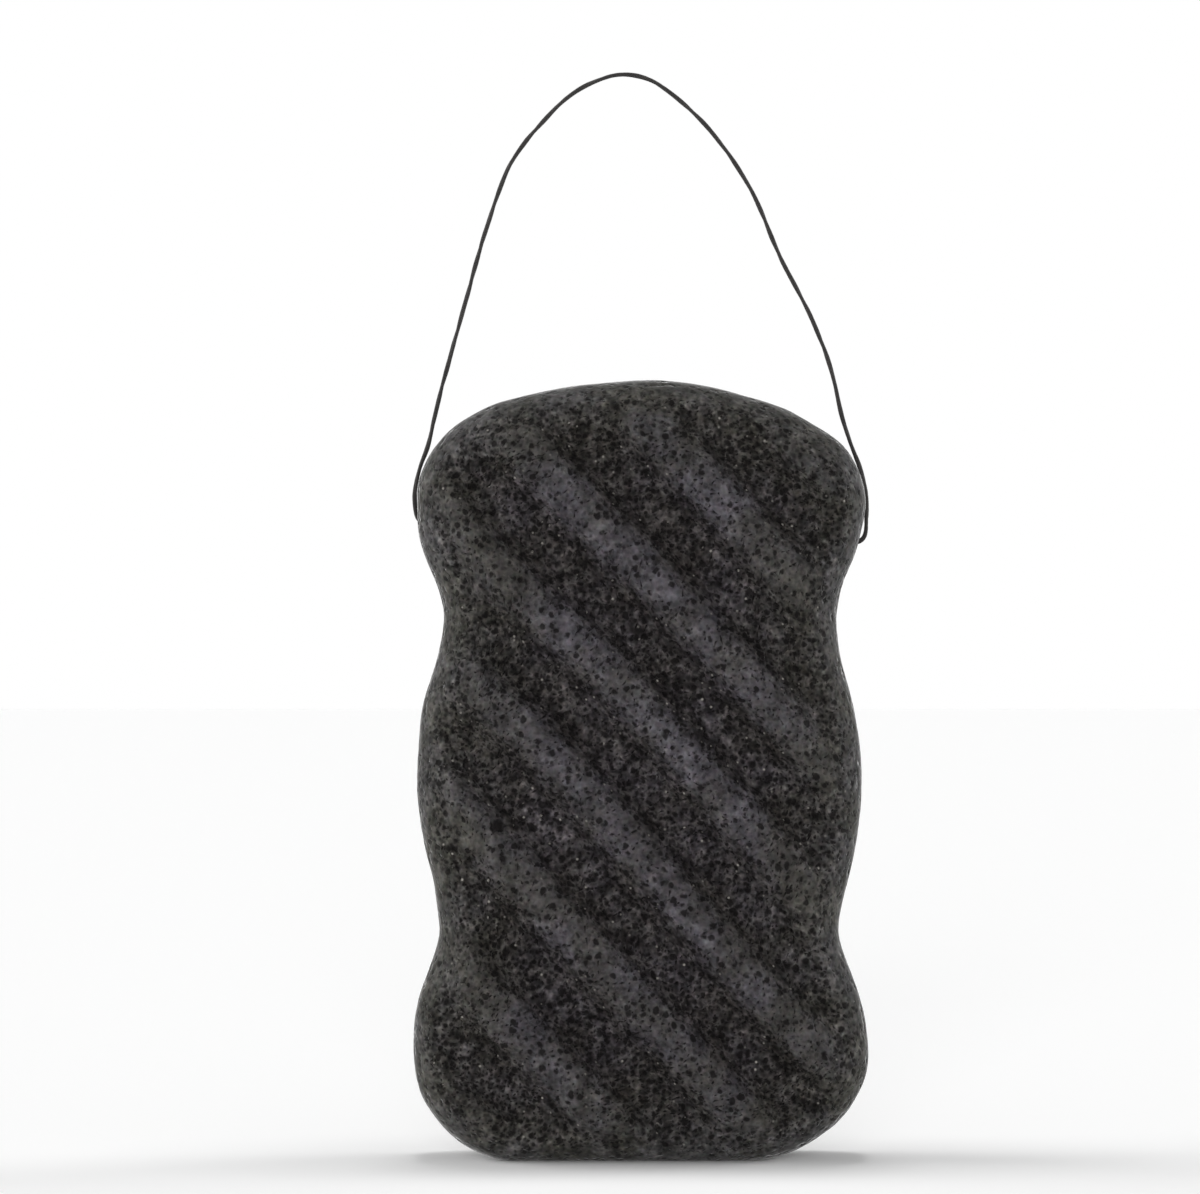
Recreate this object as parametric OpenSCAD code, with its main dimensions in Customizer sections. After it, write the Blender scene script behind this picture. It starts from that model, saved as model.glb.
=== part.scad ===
// Body sponge of konjac foam with three pairs of lobes, slanting ridges on its front
// and a loop of thin twisted cord drawn through its upper lobes.
// The sponge stands on its lower end. +Z is up and the ridged front faces -Y.

/* [Sponge] */
// Height of the sponge as it stands
body_h = 150; // [140:1:160]
// Thickness from the highest ridge on the front to the flat back
body_t = 30; // [27:0.5:36]
// Width across the lower lobes
lower_lobe_w = 87.2; // [84:0.2:92]
// Width across the middle lobes
middle_lobe_w = 85.2; // [82:0.2:92]
// Width across the upper lobes, where the cord leaves the foam
upper_lobe_w = 85; // [84:0.2:88]
// Width across the waist between the lower and middle lobes
lower_waist_w = 77.2; // [72:0.2:82]
// Width across the waist between the middle and upper lobes
upper_waist_w = 75.6; // [70:0.2:80]
// Radius of the two shoulders
shoulder_r = 16; // [12:0.5:20]
// Radius of the crowned top edge between the shoulders
crown_r = 74; // [66:1:100]
// Width of the straight lower end between its two rounded corners
base_w = 45; // [36:1:56]
// Depth cut flat from the lower end, where the sponge stands
base_cut = 0.5; // [0.3:0.1:1]
// Depth of the rounding along the front edge, from front to back
front_edge_t = 12; // [8:0.5:13]
// How far the rounding of the front edge reaches in from the outline
front_edge_in = 9; // [6:0.5:11]
// Radius of the rounding along the back edge
back_edge_r = 9; // [5:0.5:11]
// How much thicker the middle of the sponge is than its rim
face_crown = 1; // [0:0.1:2]

/* [Ridges] */
// Distance from one ridge to the next, square to the ridges
ridge_pitch = 19.6; // [15:0.1:26]
// Depth of the valleys between the ridges
ridge_depth = 5; // [1:0.1:6]
// Slope of the ridges, which fall from left to right
ridge_angle = 46; // [30:1:60]
// Distance of one ridge from the middle of the face, towards the lower left
ridge_offset = 12.3; // [0:0.1:20]
// Distance from the outline at which the ridges start to rise
ridge_fade_start = 3; // [1:0.5:6]
// Distance from the outline at which the ridges are fully formed
ridge_fade_end = 11; // [9:0.5:20]

/* [Cord] */
// Diameter of the twisted cord
cord_d = 0.9; // [0.7:0.05:1.2]
// Radial clearance of the cord in its channel through the foam
channel_clearance = 0.08; // [0.03:0.01:0.1]
// Height of the channel at the middle of the sponge
channel_z = 120.5; // [118:0.5:122]
// Slope of the channel, which falls from left to right
channel_tilt = 2.6; // [0:0.1:4]
// Depth of the dimple at each end of the channel
dimple_depth = 2.3; // [1.9:0.1:2.7]
// Radius of each dimple at the surface of the foam
dimple_r = 2; // [1.8:0.1:2.6]
// Radius of the knot that joins the ends of the cord inside the channel
knot_r = 1.5; // [1.2:0.1:2]
// Length of the knot along the channel
knot_length = 2.6; // [2:0.1:2.8]
// Distance of the knot from the middle of the sponge, towards the left
knot_offset = 24; // [0:1:30]
// Clearance round the knot in its pocket in the foam
knot_clearance = 0.3; // [0.3:0.05:0.6]

/* [Hidden] */

// Heights of the lobes and waists, as shares of the height of the sponge
lower_lobe_share = 0.147;
lower_waist_share = 0.293;
middle_lobe_share = 0.483;
upper_waist_share = 0.693;
upper_lobe_share = 0.827;
lower_lobe_z = lower_lobe_share * body_h;
lower_waist_z = lower_waist_share * body_h;
middle_lobe_z = middle_lobe_share * body_h;
upper_waist_z = upper_waist_share * body_h;
upper_lobe_z = upper_lobe_share * body_h;
// Power below 1 that makes the lobes full and the waists narrow
lobe_power = 0.8;

// Steps of each curve of the outline, and of the mesh over the sponge
curve_steps = 14;
across = 18;
upright = 28;
edge_steps = 3;
round_fn = 48;
cord_sides = 8;

// The straight wall of the rim runs between these depths
wall_front = body_t / 2 - front_edge_t;
wall_back = body_t / 2 - back_edge_r;

// Right half of the outline, from the middle of the lower end to the middle of the top
function ease(t) = pow(sin(90 * pow(t, lobe_power)), 2);
function from_waist(waist, lobe, steps) =
    [for (i = [0:steps - 1]) let (t = i / steps) waist + [(lobe.x - waist.x) * ease(t), (lobe.y - waist.y) * t]];
function to_waist(lobe, waist, steps) =
    [for (i = [0:steps - 1]) let (t = 1 - i / steps) waist + [(lobe.x - waist.x) * ease(t), (lobe.y - waist.y) * t]];

lower_lobe = [lower_lobe_w / 2, lower_lobe_z];
lower_waist = [lower_waist_w / 2, lower_waist_z];
middle_lobe = [middle_lobe_w / 2, middle_lobe_z];
upper_waist = [upper_waist_w / 2, upper_waist_z];
upper_lobe = [upper_lobe_w / 2, upper_lobe_z];
corner = [lower_lobe_w / 2 - base_w / 2, lower_lobe_z + base_cut];

// The shoulder's arc touches the side of the upper lobe and the crown's arc
shoulder_x = upper_lobe_w / 2 - shoulder_r;
crown_z = body_h - crown_r;
shoulder_z = crown_z + sqrt(pow(crown_r - shoulder_r, 2) - pow(shoulder_x, 2));
shoulder_turn = atan2(shoulder_z - crown_z, shoulder_x);

half_outline = concat(
    [[0, -base_cut]],
    [for (i = [0:curve_steps - 1]) let (a = 90 * i / curve_steps)
        [base_w / 2 + corner.x * sin(a), lower_lobe_z - corner.y * cos(a)]],
    to_waist(lower_lobe, lower_waist, curve_steps),
    from_waist(lower_waist, middle_lobe, curve_steps),
    to_waist(middle_lobe, upper_waist, curve_steps),
    from_waist(upper_waist, upper_lobe, curve_steps),
    [upper_lobe],
    [for (i = [0:curve_steps - 1]) let (a = shoulder_turn * i / curve_steps)
        [shoulder_x + shoulder_r * cos(a), shoulder_z + shoulder_r * sin(a)]],
    [for (i = [0:curve_steps]) let (a = shoulder_turn + (90 - shoulder_turn) * i / curve_steps)
        [crown_r * cos(a), crown_z + crown_r * sin(a)]]);

// Length along the half outline up to each of its points
function run_lengths(path) =
    [for (i = 0, s = 0; i < len(path);
        s = s + (i < len(path) - 1 ? norm(path[i + 1] - path[i]) : 0), i = i + 1) s];
half_lengths = run_lengths(half_outline);
half_length = half_lengths[len(half_lengths) - 1];
x_by_length = [for (i = [0:len(half_outline) - 1]) [half_lengths[i], half_outline[i].x]];
z_by_length = [for (i = [0:len(half_outline) - 1]) [half_lengths[i], half_outline[i].y]];

// Point of the whole outline, where s below 0 or past half_length is on the left side
function right_point(s) = [lookup(s, x_by_length), lookup(s, z_by_length)];
function left_point(s) = let (p = right_point(s)) [-p.x, p.y];
function outline_point(s) = s < 0 ? left_point(-s) : s <= half_length ? right_point(s) : left_point(2 * half_length - s);

// The mesh over the face has its corners in the middle of the round corners
corner_low = half_lengths[1 + floor(curve_steps / 2)];
corner_high = half_lengths[2 + 5 * curve_steps + floor(curve_steps / 2)];
rim_count = 2 * (across + upright);
rim = concat(
    [for (i = [0:across - 1]) outline_point(-corner_low + 2 * corner_low * i / across)],
    [for (i = [0:upright - 1]) outline_point(corner_low + (corner_high - corner_low) * i / upright)],
    [for (i = [0:across - 1]) outline_point(corner_high + 2 * (half_length - corner_high) * i / across)],
    [for (i = [0:upright - 1])
        outline_point(2 * half_length - corner_high + (corner_high - corner_low) * i / upright)]);

function unit(v) = v / norm(v);
function inward(i) =
    let (t = unit(rim[(i + 1) % rim_count] - rim[(i + rim_count - 1) % rim_count])) [-t.y, t.x];
rim_inward = [for (i = [0:rim_count - 1]) inward(i)];

// Height of the front at a point of the face, where d is the distance from the outline
function smooth(t) = let (c = min(1, max(0, t))) c * c * (3 - 2 * c);
function ridge_wave(p) =
    let (s = -p.x * sin(ridge_angle) - (p.y - body_h / 2) * cos(ridge_angle) - ridge_offset)
    let (a = 360 * s / ridge_pitch)
    smooth((cos(a) + 1) / 2) - 1;
function crown_drop(p) =
    let (u = p.x / (lower_lobe_w / 2)) let (v = (p.y - body_h / 2) / (body_h / 2))
    face_crown * (1 - (1 - min(1, u * u)) * (1 - min(1, v * v)));
function front_height(p, d) =
    let (formed = smooth((d - ridge_fade_start) / (ridge_fade_end - ridge_fade_start)))
    let (relief = ridge_depth * (formed * (ridge_wave(p) + 1 / 2) - 1 / 2))
    body_t / 2 - crown_drop(p) + relief;

function on_floor(p) = [p.x, p.y, max(0, p.z)];
function back_ring(a) =
    [for (i = [0:rim_count - 1]) let (p = rim[i] + rim_inward[i] * back_edge_r * (1 - cos(a)))
        on_floor([p.x, wall_back + back_edge_r * sin(a), p.y])];
function front_ring(a) =
    let (d = front_edge_in * (1 - cos(a)))
    [for (i = [0:rim_count - 1]) let (p = rim[i] + rim_inward[i] * d)
        on_floor([p.x, -wall_front - (front_height(p, d) - wall_front) * sin(a), p.y])];

// Points inside the front's inner rim, blended from its four sides
inner_rim = [for (i = [0:rim_count - 1]) rim[i] + rim_inward[i] * front_edge_in];
function face_side(k) = inner_rim[k % rim_count];
function face_point(i, j) =
    let (u = i / across) let (v = j / upright)
    let (low = face_side(i)) let (high = face_side(2 * across + upright - i))
    let (left = face_side(rim_count - j)) let (right = face_side(across + j))
    (1 - v) * low + v * high + (1 - u) * left + u * right
    - (1 - v) * ((1 - u) * face_side(0) + u * face_side(across))
    - v * ((1 - u) * face_side(2 * across + upright) + u * face_side(across + upright));
function rim_distance(p) = min([for (q = rim) norm(p - q)]);
face_points = [for (j = [1:upright - 1]) for (i = [1:across - 1])
    let (p = face_point(i, j)) [p.x, -front_height(p, rim_distance(p)), p.y]];

rings = concat(
    [for (k = [0:edge_steps]) back_ring(90 * (1 - k / edge_steps))],
    [for (k = [0:edge_steps]) front_ring(90 * k / edge_steps)]);
ring_points = [for (ring = rings) for (p = ring) p];
last_ring = (len(rings) - 1) * rim_count;
function face_index(i, j) =
    j == 0 ? last_ring + i :
    i == across ? last_ring + across + j :
    j == upright ? last_ring + 2 * across + upright - i :
    i == 0 ? last_ring + rim_count - j :
    len(ring_points) + (j - 1) * (across - 1) + i - 1;

ring_faces = [for (k = [0:len(rings) - 2]) for (i = [0:rim_count - 1])
    let (n = (i + 1) % rim_count)
    each [[k * rim_count + i, (k + 1) * rim_count + i, (k + 1) * rim_count + n],
        [k * rim_count + i, (k + 1) * rim_count + n, k * rim_count + n]]];
front_faces = [for (j = [0:upright - 1]) for (i = [0:across - 1])
    each [[face_index(i, j), face_index(i, j + 1), face_index(i + 1, j)],
        [face_index(i, j + 1), face_index(i + 1, j + 1), face_index(i + 1, j)]]];
back_face = [[for (i = [0:rim_count - 1]) i]];

module foam() {
    polyhedron(points = concat(ring_points, face_points), faces = concat(ring_faces, front_faces, back_face));
}

// The channel runs along this axis, with its middle at the middle of the sponge
channel_r = cord_d / 2 + channel_clearance;
mouth_at = upper_lobe_w / 2 - dimple_depth;
cut_overrun = 2;
module along_channel() {
    translate([0, 0, channel_z]) rotate([0, 90 + channel_tilt, 0]) children();
}
function channel_point(a) = [a * cos(channel_tilt), channel_z - a * sin(channel_tilt)];

module dimple() {
    widening = (dimple_r - channel_r) / dimple_depth;
    translate([0, 0, mouth_at])
        cylinder(h = dimple_depth + cut_overrun, r1 = channel_r, r2 = dimple_r + widening * cut_overrun, $fn = round_fn);
}

module cord_channel() {
    along_channel() {
        cylinder(h = 2 * mouth_at, r = channel_r, center = true, $fn = round_fn);
        translate([0, 0, -knot_offset]) sphere(r = knot_r + knot_clearance, $fn = round_fn);
        dimple();
        mirror([0, 0, 1]) dimple();
    }
}

module sponge_body() {
    color([0.24, 0.235, 0.23]) difference() {
        foam();
        cord_channel();
    }
}

// Route of the free cord in the upright plane of the channel, as [x, z]. It leaves each
// mouth straight along the channel and turns up, and the other points are chosen by hand.
mouth_run = 1.1 * cord_d;
cord_turn_r = 2.5 * cord_d;
cord_turn_steps = [30, 60, 90];
function turn_point(side, a) =
    let (out = side * (mouth_at + mouth_run + cord_turn_r * sin(a)))
    channel_point(out) + cord_turn_r * (1 - cos(a)) * [sin(channel_tilt), cos(channel_tilt)];
cord_rise = [
    [-43.4, 126.2], [-43.4, 128.3], [-43, 130.8], [-42.3, 133.4], [-41, 136.9], [-39.9, 141.5],
    [-38.5, 147.5], [-37, 153], [-33.5, 165.5], [-30, 178], [-25.3, 191], [-22, 196], [-18.5, 200],
    [-14.5, 204], [-9.5, 207.2], [-3.5, 208.9]];
cord_fall = [
    [2, 207.8], [9, 202.7], [15, 196.3], [21.5, 186.5], [27, 173.8], [33, 162], [36.7, 152.5],
    [39.2, 142], [41, 136.7], [42.3, 133.3], [43.2, 130.3], [43.6, 127.3], [43.7, 124.6], [43.6, 122.4]];
cord_route = concat(
    [channel_point(-mouth_at), turn_point(-1, 0)],
    [for (a = cord_turn_steps) turn_point(-1, a)],
    cord_rise, cord_fall,
    [for (i = [len(cord_turn_steps) - 1:-1:0]) turn_point(1, cord_turn_steps[i])],
    [turn_point(1, 0), channel_point(mouth_at)]);

// A smooth curve through the route, with one ring at each point and one half way between
function route_point(i) =
    i < 0 ? 2 * cord_route[0] - cord_route[1] :
    i > len(cord_route) - 1 ? 2 * cord_route[i - 1] - cord_route[i - 2] : cord_route[i];
function halfway(i) =
    (9 * (route_point(i) + route_point(i + 1)) - route_point(i - 1) - route_point(i + 2)) / 16;
cord_line = [for (i = [0:len(cord_route) - 1])
    each i < len(cord_route) - 1 ? [route_point(i), halfway(i)] : [route_point(i)]];
function cord_heading(i) =
    i == 0 ? unit(cord_line[1] - cord_line[0]) :
    i == len(cord_line) - 1 ? unit(cord_line[i] - cord_line[i - 1]) :
    unit(unit(cord_line[i + 1] - cord_line[i]) + unit(cord_line[i] - cord_line[i - 1]));
cord_points = [for (i = [0:len(cord_line) - 1]) let (p = cord_line[i]) let (t = cord_heading(i))
    for (k = [0:cord_sides - 1]) let (a = 360 * k / cord_sides) let (r = cord_d / 2)
        [p.x - t.y * r * cos(a), r * sin(a), p.y + t.x * r * cos(a)]];
cord_faces = [for (i = [0:len(cord_line) - 2]) for (k = [0:cord_sides - 1])
    let (n = (k + 1) % cord_sides)
    each [[i * cord_sides + k, (i + 1) * cord_sides + k, (i + 1) * cord_sides + n],
        [i * cord_sides + k, (i + 1) * cord_sides + n, i * cord_sides + n]]];
cord_ends = [
    [for (k = [0:cord_sides - 1]) k],
    [for (k = [cord_sides - 1:-1:0]) (len(cord_line) - 1) * cord_sides + k]];

module cord_loop() {
    color([0.13, 0.12, 0.12])
        polyhedron(points = cord_points, faces = concat(cord_faces, cord_ends));
}

// Two straight stretches inside the foam, which meet the knot's flat ends
module cord_inner_run() {
    left_end = -knot_offset - knot_length / 2;
    right_end = -knot_offset + knot_length / 2;
    color([0.13, 0.12, 0.12]) along_channel() {
        translate([0, 0, -mouth_at]) cylinder(h = left_end + mouth_at, r = cord_d / 2, $fn = round_fn);
        translate([0, 0, right_end]) cylinder(h = mouth_at - right_end, r = cord_d / 2, $fn = round_fn);
    }
}

module cord_knot() {
    color([0.16, 0.15, 0.15]) along_channel() translate([0, 0, -knot_offset]) intersection() {
        sphere(r = knot_r, $fn = round_fn);
        cylinder(h = knot_length, r = knot_r, center = true, $fn = round_fn);
    }
}

sponge_body();
cord_loop();
cord_inner_run();
cord_knot();
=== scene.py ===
"""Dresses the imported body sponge: pored charcoal foam with slanting ridges, and a loop of twisted thread.

Shapes are worked out in millimetres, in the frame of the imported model: the sponge stands on z = 0 with
its ridged front towards -Y. They are turned into metres where a mesh is made.
"""
from math import atan2, cos, e, log, pi, radians, sin, sqrt

import bpy
import numpy as np
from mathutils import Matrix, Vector


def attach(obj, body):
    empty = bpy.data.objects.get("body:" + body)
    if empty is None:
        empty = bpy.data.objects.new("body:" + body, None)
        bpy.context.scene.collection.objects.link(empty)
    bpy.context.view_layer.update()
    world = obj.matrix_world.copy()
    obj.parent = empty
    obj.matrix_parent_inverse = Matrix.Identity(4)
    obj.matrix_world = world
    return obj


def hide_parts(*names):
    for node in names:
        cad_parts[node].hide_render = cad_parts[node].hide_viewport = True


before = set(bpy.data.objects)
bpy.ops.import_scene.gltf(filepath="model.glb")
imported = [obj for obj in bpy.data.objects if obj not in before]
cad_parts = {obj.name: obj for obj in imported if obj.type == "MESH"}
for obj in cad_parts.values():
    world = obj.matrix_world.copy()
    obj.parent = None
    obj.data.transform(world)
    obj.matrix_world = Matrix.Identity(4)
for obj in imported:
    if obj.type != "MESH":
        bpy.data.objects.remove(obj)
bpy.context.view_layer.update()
MM = 0.001

# Sponge, as packed
BODY_H = 150.0
BODY_T = 30.0
LOWER_LOBE_W = 87.2
LOWER_WAIST_W = 77.2
MIDDLE_LOBE_W = 85.2
UPPER_WAIST_W = 75.6
UPPER_LOBE_W = 85.0
LOBE_AND_WAIST_SHARES = [0.147, 0.293, 0.483, 0.693, 0.827]
LOBE_POWER = 0.8
SHOULDER_R = 16.0
CROWN_R = 74.0
BASE_W = 45.0
BASE_CUT = 0.5
FRONT_EDGE_T = 12.0
FRONT_EDGE_IN = 9.0
BACK_EDGE_R = 9.0
FACE_CROWN = 1.0
RIDGE_PITCH = 19.6
RIDGE_DEPTH = 5.0
RIDGE_ANGLE = radians(46)
RIDGE_OFFSET = 12.3
RIDGE_FADE = (3.0, 11.0)

# Cord and its channel, as packed
CORD_D = 0.9
CHANNEL_R = 0.53
CHANNEL_Z = 120.5
CHANNEL_TILT = radians(2.6)
DIMPLE_DEPTH = 2.3
DIMPLE_R = 2.0
KNOT_OFFSET = 24.0
KNOT_LENGTH = 2.6
MOUTH_AT = UPPER_LOBE_W / 2 - DIMPLE_DEPTH
MOUTH_RUN = 1.1 * CORD_D
CORD_TURN_R = 2.5 * CORD_D
CORD_TURN_STEPS = [30, 60, 90]
CORD_RISE = [
    (-43.4, 126.2), (-43.4, 128.3), (-43, 130.8), (-42.3, 133.4), (-41, 136.9), (-39.9, 141.5),
    (-38.5, 147.5), (-37, 153), (-33.5, 165.5), (-30, 178), (-25.3, 191), (-22, 196), (-18.5, 200),
    (-14.5, 204), (-9.5, 207.2), (-3.5, 208.9)]
CORD_FALL = [
    (2, 207.8), (9, 202.7), (15, 196.3), (21.5, 186.5), (27, 173.8), (33, 162), (36.7, 152.5),
    (39.2, 142), (41, 136.7), (42.3, 133.3), (43.2, 130.3), (43.6, 127.3), (43.7, 124.6), (43.6, 122.4)]

# Slight departures from the even outline: centre x and z, reach, and how far outwards
OUTLINE_DEPARTURES = [
    (-29, 145, 7, 0.7), (-6, 150, 8, -0.3), (-42.5, 121, 5, 0.35), (-42.4, 129, 4, 0.3),
    (-39, 110, 5, -0.4), (-41, 87, 7, 0.8), (-42.5, 73, 8, 0.3), (-39.5, 54, 4, -0.35),
    (-42.5, 31, 5, 0.3), (-42.5, 12, 5, 0.4), (-35.5, 4, 5, 0.2), (20, 147.5, 9, -0.35),
    (34.5, 140.5, 5, -0.8), (42.6, 130, 4, 0.35), (43, 125.5, 4, 0.75), (39.3, 111, 5, -0.55),
    (38.3, 96, 6, -0.35), (39, 46, 8, -0.5), (33, 3.5, 7, -0.9), (25, 0, 5, -0.5), (43.5, 17, 5, 0.5)]

# Slow wander of the ridges
WANDER = 1.1
WANDER_SIZE = 42.0
WANDER_SEED = 1573

# Mesh over the sponge: cells across and up each face, and rings round the rim
ACROSS = 118
UPRIGHT = 218
BACK_RINGS = 22
WALL_RINGS = 14
FRONT_RINGS = 26
OUTLINE_STEPS = 60

# Where the foam's tones fade: distances from the outline
EDGE_FADE = (7.0, 1.0)
BORDER_FADE = (24.0, 4.0)
CREST_TONE_FADE = (1.5, 8.0)
# The y across the wall between which the edge, and with it its paler tone that is partly painted highlight,
# weakens towards the back, and the share that it loses
WALL_FADE = (-4.0, 7.0)
WALL_LOSS = 0.55
# Painted shade on the ridges' flanks, as if lit from the lower left: how much darker the flanks that face
# up and to the right are painted
FLANK_SHADE_BIAS = 0.3

# Unevenness of the skin: its swells, ripples and grain, and how much of them the edge calms
SWELL_SPREAD = 1.5
SWELL_SIZE = 7.0
SWELL_LIFT = 0.08
SWELL_CALMED = 0.5
SWELL_SEED = 21
RIPPLE_SIZE = 2.2
RIPPLE_LIFT = 0.04
RIPPLE_SEED = 22
GRAIN_LIFT = 0.025
GRAIN_SHIFT = 0.07
GRAIN_CALMED = 0.8

# Pores: how many, how they thin out on crests, off the ridges and along the edge, and their form
SEED = 11
PORE_CHANCE = 0.36
PORES_IN_VALLEYS = 1.15
PORES_LOST_ON_CRESTS = 0.55
PORES_LOST_OFF_RIDGES = 0.25
PORES_LOST_AT_EDGE = 0.85
PORE_PATCH_SIZE = 9.0
PORE_PATCH_SEED = 23
PORE_PATCHES = (0.55, 0.75)
PORE_LIMITS = (0.1, 1.6)
PORE_R = (0.22, 0.35, 0.52)
PORE_R_SPREAD = 0.28
PORE_STRETCH = 0.35
PORE_UNEVENNESS = 0.08
PORE_RIM_SINK = 0.04
PORE_SHIFT = 0.05
PORE_DEPTH_SHARE = (0.8, 1.5)
# No pores in the foot, or this near to a mouth of the channel
FOOT_Z = 0.6
MOUTH_MARGIN = 3.0
DIMPLE_MARGIN = 1.0
# One large pit in the face: x, z, radius and depth
LARGE_PIT = (-27.2, 64.6, 1.3, 1.5)
# The dimples reach a little past their packed size, so that the foam clears the thread
DIMPLE_REACH = 1.15 * DIMPLE_R
DIMPLE_PRESS = DIMPLE_DEPTH + 0.3
# A direction that is along no axis, to find a side from
SLANT = (0.3, 0.2, 0.9)


def unit(v):
    """Rows of v at length 1."""
    return v / np.linalg.norm(v, axis=-1, keepdims=True)


def smooth(t):
    """Eases from 0 to 1 while t goes from 0 to 1."""
    c = np.clip(t, 0, 1)
    return c * c * (3 - 2 * c)


def ease(values, start, end):
    """Eases from 0 to 1 while the values go from start to end, which may be the lower one."""
    return smooth((values - start) / (end - start))


def swells(points, size, seed, count=48):
    """A smooth random value at each point, mostly within -1 to 1, that changes over about size."""
    rng = np.random.default_rng(seed)
    pull = rng.normal(size=(count, 3)) * 2 / size
    start = rng.uniform(0, 2 * pi, count)
    return np.cos(points @ pull.T + start).sum(1) * sqrt(2 / count) / SWELL_SPREAD


def run_lengths(line):
    """Length along a line up to each of its points."""
    steps = np.linalg.norm(np.diff(line, axis=0), axis=1)
    return np.concatenate([[0], np.cumsum(steps)])


# Outline of the sponge

def side_stretch(waist, lobe, start, end):
    """The side from start to end, without its last point: 0 is at a waist, 1 at a lobe's widest point."""
    t = np.linspace(start, end, OUTLINE_STEPS, endpoint=False)[:, None]
    eased = np.sin(pi / 2 * t ** LOBE_POWER) ** 2
    return np.array(waist) + np.hstack([(lobe[0] - waist[0]) * eased, (lobe[1] - waist[1]) * t])


def arc(centre, radii, start, end):
    """Points of an arc or of a stretch of an ellipse, without its last one."""
    a = np.linspace(start, end, OUTLINE_STEPS, endpoint=False)
    return np.column_stack([centre[0] + radii[0] * np.cos(a), centre[1] + radii[1] * np.sin(a)])


def half_outline():
    """Right half of the outline, from the middle of the lower end to the middle of the top."""
    widths = [LOWER_LOBE_W, LOWER_WAIST_W, MIDDLE_LOBE_W, UPPER_WAIST_W, UPPER_LOBE_W]
    low, waist, middle, high_waist, high = [
        (w / 2, share * BODY_H) for w, share in zip(widths, LOBE_AND_WAIST_SHARES)]
    shoulder_x = UPPER_LOBE_W / 2 - SHOULDER_R
    crown_z = BODY_H - CROWN_R
    shoulder_z = crown_z + sqrt((CROWN_R - SHOULDER_R) ** 2 - shoulder_x ** 2)
    turn = atan2(shoulder_z - crown_z, shoulder_x)
    corner = (low[0] - BASE_W / 2, low[1] + BASE_CUT)
    return np.vstack([
        np.array([[0, -BASE_CUT]]),
        arc((BASE_W / 2, low[1]), corner, -pi / 2, 0),
        side_stretch(waist, low, 1, 0),
        side_stretch(waist, middle, 0, 1),
        side_stretch(high_waist, middle, 1, 0),
        side_stretch(high_waist, high, 0, 1),
        np.array([high]),
        arc((shoulder_x, shoulder_z), (SHOULDER_R, SHOULDER_R), 0, turn),
        arc((0, crown_z), (CROWN_R, CROWN_R), turn, pi / 2),
        np.array([[0, BODY_H]])])


def rim_line():
    """The outline as 2 * (ACROSS + UPRIGHT) points, from the lower left corner round by the right."""
    half = half_outline()
    runs = run_lengths(half)
    total = runs[-1]
    # The faces' corners are half way along the foot's arc, which starts at point 1, and half way along
    # the shoulder's arc, which comes after two lone points and five stretches
    half_arc = OUTLINE_STEPS // 2
    corner_low = runs[1 + half_arc]
    corner_high = runs[2 + 5 * OUTLINE_STEPS + half_arc]
    stretches = [
        (-corner_low, corner_low, ACROSS),
        (corner_low, corner_high, UPRIGHT),
        (corner_high, 2 * total - corner_high, ACROSS),
        (2 * total - corner_high, 2 * total - corner_low, UPRIGHT)]
    at = np.concatenate([np.linspace(a, b, n, endpoint=False) for a, b, n in stretches])
    side = np.where((at < 0) | (at > total), -1, 1)
    along = np.where(at < 0, -at, np.where(at > total, 2 * total - at, at))
    rim = np.column_stack([side * np.interp(along, runs, half[:, 0]), np.interp(along, runs, half[:, 1])])
    outward = -inward_of(rim)
    for x, z, reach, amount in OUTLINE_DEPARTURES:
        near = np.exp(-((rim - (x, z)) ** 2).sum(1) / reach ** 2)
        rim = rim + outward * (amount * near)[:, None]
    return rim


def inward_of(rim):
    """Direction into the sponge at each point of its rim."""
    along = unit(np.roll(rim, -1, axis=0) - np.roll(rim, 1, axis=0))
    return np.column_stack([-along[:, 1], along[:, 0]])


# Surface of the sponge

def ridge_phase(p):
    """Angle of the ridges' wave: 0 on a crest, then growing towards the lower left."""
    across = -p[:, 0] * sin(RIDGE_ANGLE) - (p[:, 1] - BODY_H / 2) * cos(RIDGE_ANGLE) - RIDGE_OFFSET
    wander = WANDER * swells(np.column_stack([p, np.zeros(len(p))]), WANDER_SIZE, WANDER_SEED)
    return 2 * pi * (across - wander) / RIDGE_PITCH


def ridge_wave(p):
    """Height of the ridges, from -1 in a valley to 0 on a crest."""
    return smooth((np.cos(ridge_phase(p)) + 1) / 2) - 1


def front_height(p, d):
    """How far the front lies before the middle of the thickness, at distance d from the outline."""
    u = np.minimum(1, (p[:, 0] / (LOWER_LOBE_W / 2)) ** 2)
    v = np.minimum(1, ((p[:, 1] - BODY_H / 2) / (BODY_H / 2)) ** 2)
    drop = FACE_CROWN * (1 - (1 - u) * (1 - v))
    relief = RIDGE_DEPTH * (ease(d, *RIDGE_FADE) * (ridge_wave(p) + 0.5) - 0.5)
    return BODY_T / 2 - drop + relief


def face_grid(inner):
    """Points inside an inner rim, blended from its four sides, as rows upwards of points across."""
    n = len(inner)
    low = inner[:ACROSS + 1]
    right = inner[ACROSS:ACROSS + UPRIGHT + 1]
    high = inner[ACROSS + UPRIGHT:2 * ACROSS + UPRIGHT + 1][::-1]
    left = inner[-np.arange(UPRIGHT + 1) % n]
    u = np.linspace(0, 1, ACROSS + 1)[None, :, None]
    v = np.linspace(0, 1, UPRIGHT + 1)[:, None, None]
    sides = (1 - v) * low + v * high + (1 - u) * left[:, None] + u * right[:, None]
    corners = (1 - v) * ((1 - u) * low[0] + u * low[-1]) + v * ((1 - u) * high[0] + u * high[-1])
    return (sides - corners)[1:-1, 1:-1].reshape(-1, 2)


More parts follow.
